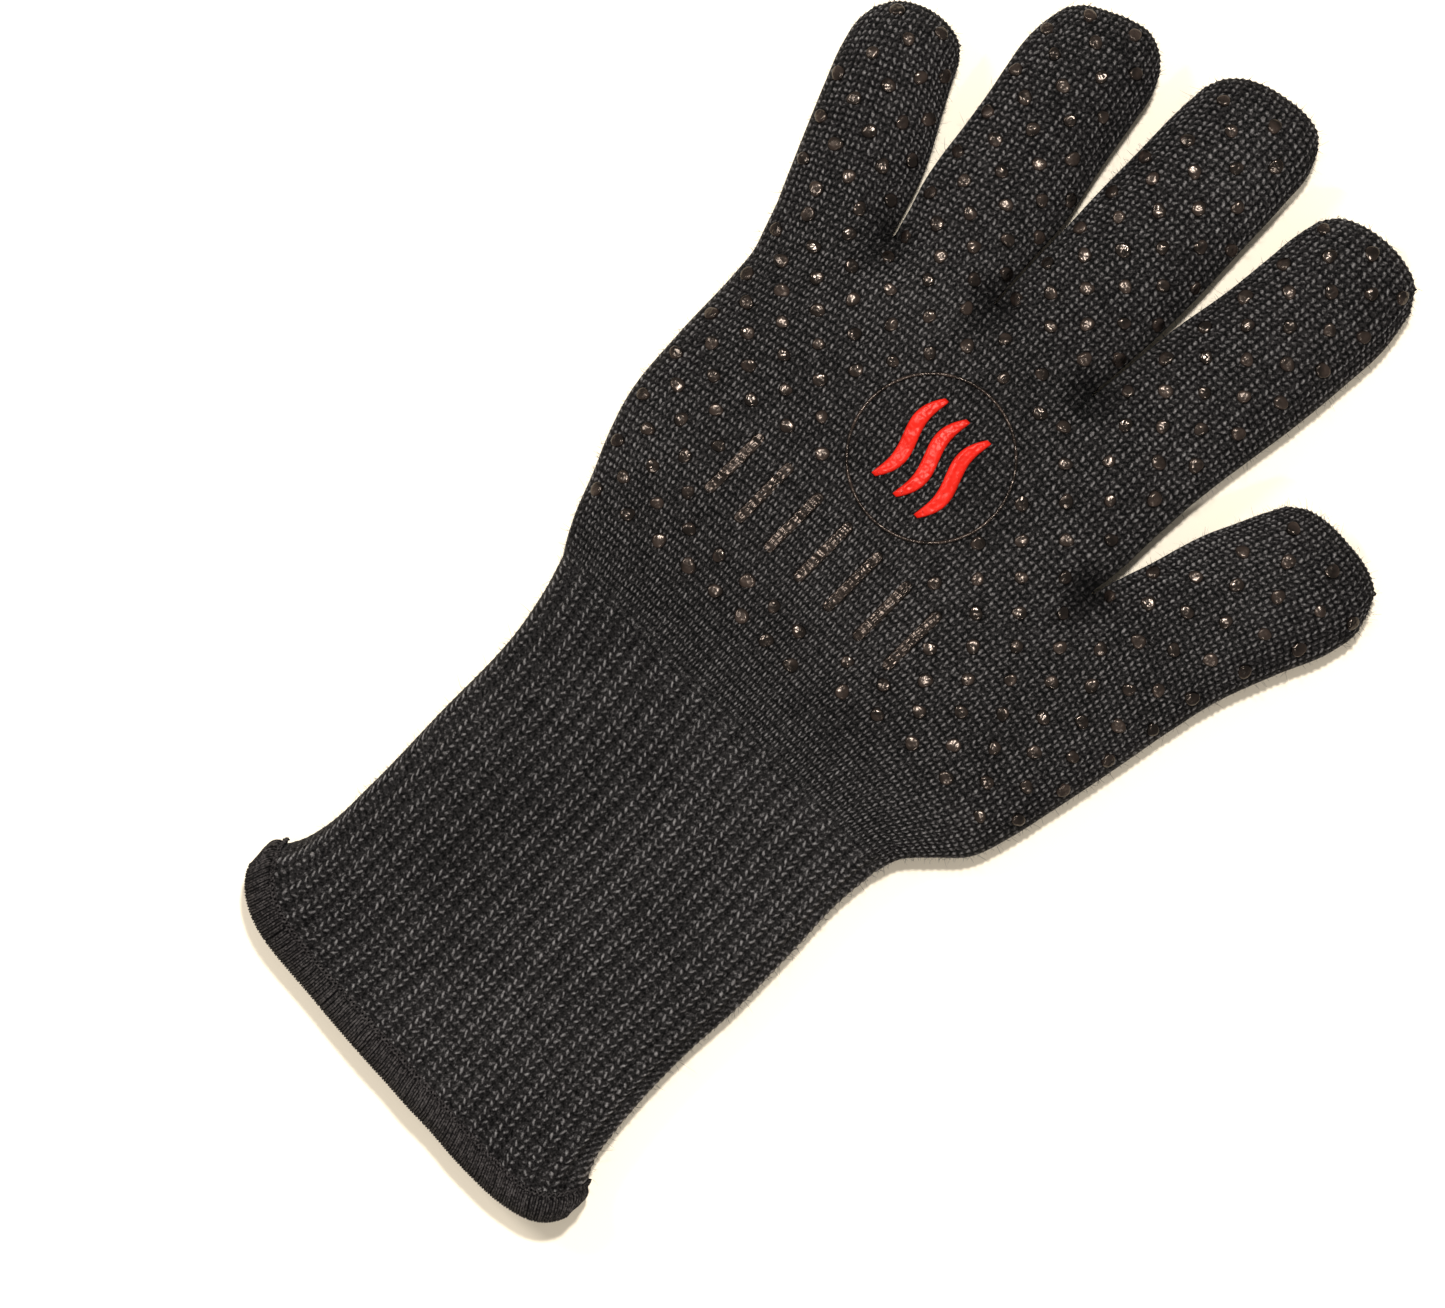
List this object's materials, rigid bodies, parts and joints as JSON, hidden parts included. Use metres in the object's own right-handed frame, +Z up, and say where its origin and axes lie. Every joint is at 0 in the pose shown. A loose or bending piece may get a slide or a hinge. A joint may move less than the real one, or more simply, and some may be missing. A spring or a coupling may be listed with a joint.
{
  "type": "heat resistant glove",
  "caption": "Knitted heat resistant barbecue glove for the right hand, with a ribbed gauntlet cuff, cotton liner and silicone grip print, lying flat with its palm up.",
  "frame": {"origin": "middle of the wrist crease, on the surface that the back of the glove rests on", "axes": "+Z up out of the palm, +Y from the cuff towards the fingertips, +X towards the thumb side"},
  "size_m": [0.1994, 0.3314, 0.0172],
  "materials": {
    "knit_shell": "matte",
    "knit_flex": "matte",
    "cotton_liner": "matte",
    "hem_thread": "matte",
    "red_silicone": "gloss",
    "black_silicone": "gloss"
  },
  "bodies": {
    "palm": {"palm_shell": "knit_shell", "palm_liner": "cotton_liner", "wrist_flex": "knit_flex", "emblem_ring": "black_silicone", "heat_wave_left": "red_silicone", "heat_wave_centre": "red_silicone", "heat_wave_right": "red_silicone", "grip_bar_1": "black_silicone", "grip_bar_2": "black_silicone", "grip_bar_3": "black_silicone", "grip_bar_4": "black_silicone", "grip_bar_5": "black_silicone", "grip_bar_6": "black_silicone", "grip_bar_7": "black_silicone", "little_knuckle_flex": "knit_flex", "ring_knuckle_flex": "knit_flex", "middle_knuckle_flex": "knit_flex", "fore_knuckle_flex": "knit_flex", "thumb_knuckle_flex": "knit_flex"},
    "cuff": {"cuff_shell": "knit_shell", "cuff_liner": "cotton_liner", "cuff_hem": "hem_thread"},
    "little_proximal": {"little_proximal_shell": "knit_shell", "little_proximal_liner": "cotton_liner", "little_middle_flex": "knit_flex"},
    "little_middle": {"little_middle_shell": "knit_shell", "little_middle_liner": "cotton_liner", "little_tip_flex": "knit_flex"},
    "little_tip": {"little_tip_shell": "knit_shell", "little_tip_liner": "cotton_liner"},
    "ring_proximal": {"ring_proximal_shell": "knit_shell", "ring_proximal_liner": "cotton_liner", "ring_middle_flex": "knit_flex"},
    "ring_middle": {"ring_middle_shell": "knit_shell", "ring_middle_liner": "cotton_liner", "ring_tip_flex": "knit_flex"},
    "ring_tip": {"ring_tip_shell": "knit_shell", "ring_tip_liner": "cotton_liner"},
    "middle_proximal": {"middle_proximal_shell": "knit_shell", "middle_proximal_liner": "cotton_liner", "middle_middle_flex": "knit_flex"},
    "middle_middle": {"middle_middle_shell": "knit_shell", "middle_middle_liner": "cotton_liner", "middle_tip_flex": "knit_flex"},
    "middle_tip": {"middle_tip_shell": "knit_shell", "middle_tip_liner": "cotton_liner"},
    "fore_proximal": {"fore_proximal_shell": "knit_shell", "fore_proximal_liner": "cotton_liner", "fore_middle_flex": "knit_flex"},
    "fore_middle": {"fore_middle_shell": "knit_shell", "fore_middle_liner": "cotton_liner", "fore_tip_flex": "knit_flex"},
    "fore_tip": {"fore_tip_shell": "knit_shell", "fore_tip_liner": "cotton_liner"},
    "thumb_proximal": {"thumb_proximal_shell": "knit_shell", "thumb_proximal_liner": "cotton_liner", "thumb_tip_flex": "knit_flex"},
    "thumb_tip": {"thumb_tip_shell": "knit_shell", "thumb_tip_liner": "cotton_liner"}
  },
  "joints": [
    {"name": "wrist", "type": "hinge", "parent": "palm", "child": "cuff", "pos_m": [0, -0.012, 0.008], "axis": [-1, 0, 0], "range_deg": [-55, 55], "deforming": ["wrist_flex"]},
    {"name": "little_knuckle", "type": "hinge", "parent": "palm", "child": "little_proximal", "pos_m": [-0.07243, 0.10504, 0.01], "axis": [0.9976, 0.0698, 0], "range_deg": [-15, 75], "deforming": ["little_knuckle_flex"]},
    {"name": "little_middle", "type": "hinge", "parent": "little_proximal", "child": "little_middle", "pos_m": [-0.07904, 0.1207, 0.01], "axis": [0.9976, 0.0698, 0], "range_deg": [0, 85], "deforming": ["little_middle_flex"]},
    {"name": "little_tip", "type": "hinge", "parent": "little_middle", "child": "little_tip", "pos_m": [-0.08468, 0.13406, 0.01], "axis": [0.9976, 0.0698, 0], "range_deg": [0, 45], "deforming": ["little_tip_flex"]},
    {"name": "ring_knuckle", "type": "hinge", "parent": "palm", "child": "ring_proximal", "pos_m": [-0.04169, 0.11436, 0.01], "axis": [1, 0, 0], "range_deg": [-15, 75], "deforming": ["ring_knuckle_flex"]},
    {"name": "ring_middle", "type": "hinge", "parent": "ring_proximal", "child": "ring_middle", "pos_m": [-0.04615, 0.14048, 0.01], "axis": [1, 0, 0], "range_deg": [0, 85], "deforming": ["ring_middle_flex"]},
    {"name": "ring_tip", "type": "hinge", "parent": "ring_middle", "child": "ring_tip", "pos_m": [-0.04985, 0.16217, 0.01], "axis": [1, 0, 0], "range_deg": [0, 45], "deforming": ["ring_tip_flex"]},
    {"name": "middle_knuckle", "type": "hinge", "parent": "palm", "child": "middle_proximal", "pos_m": [-0.00836, 0.121, 0.01], "axis": [1, 0, 0], "range_deg": [-15, 75], "deforming": ["middle_knuckle_flex"]},
    {"name": "middle_middle", "type": "hinge", "parent": "middle_proximal", "child": "middle_middle", "pos_m": [-0.00881, 0.152, 0.01], "axis": [1, 0, 0], "range_deg": [0, 85], "deforming": ["middle_middle_flex"]},
    {"name": "middle_tip", "type": "hinge", "parent": "middle_middle", "child": "middle_tip", "pos_m": [-0.00915, 0.17599, 0.01], "axis": [1, 0, 0], "range_deg": [0, 45], "deforming": ["middle_tip_flex"]},
    {"name": "fore_knuckle", "type": "hinge", "parent": "palm", "child": "fore_proximal", "pos_m": [0.02752, 0.12071, 0.01], "axis": [1, 0, 0], "range_deg": [-15, 75], "deforming": ["fore_knuckle_flex"]},
    {"name": "fore_middle", "type": "hinge", "parent": "fore_proximal", "child": "fore_middle", "pos_m": [0.03048, 0.14755, 0.01], "axis": [1, 0, 0], "range_deg": [0, 85], "deforming": ["fore_middle_flex"]},
    {"name": "fore_tip", "type": "hinge", "parent": "fore_middle", "child": "fore_tip", "pos_m": [0.03284, 0.16892, 0.01], "axis": [1, 0, 0], "range_deg": [0, 45], "deforming": ["fore_tip_flex"]},
    {"name": "thumb_knuckle", "type": "hinge", "parent": "palm", "child": "thumb_proximal", "pos_m": [0.06396, 0.07818, 0.01], "axis": [0.9466, -0.3223, 0], "range_deg": [-10, 38], "deforming": ["thumb_knuckle_flex"]},
    {"name": "thumb_tip", "type": "hinge", "parent": "thumb_proximal", "child": "thumb_tip", "pos_m": [0.07298, 0.10468, 0.01], "axis": [0.9466, -0.3223, 0], "range_deg": [0, 60], "deforming": ["thumb_tip_flex"]}
  ]
}
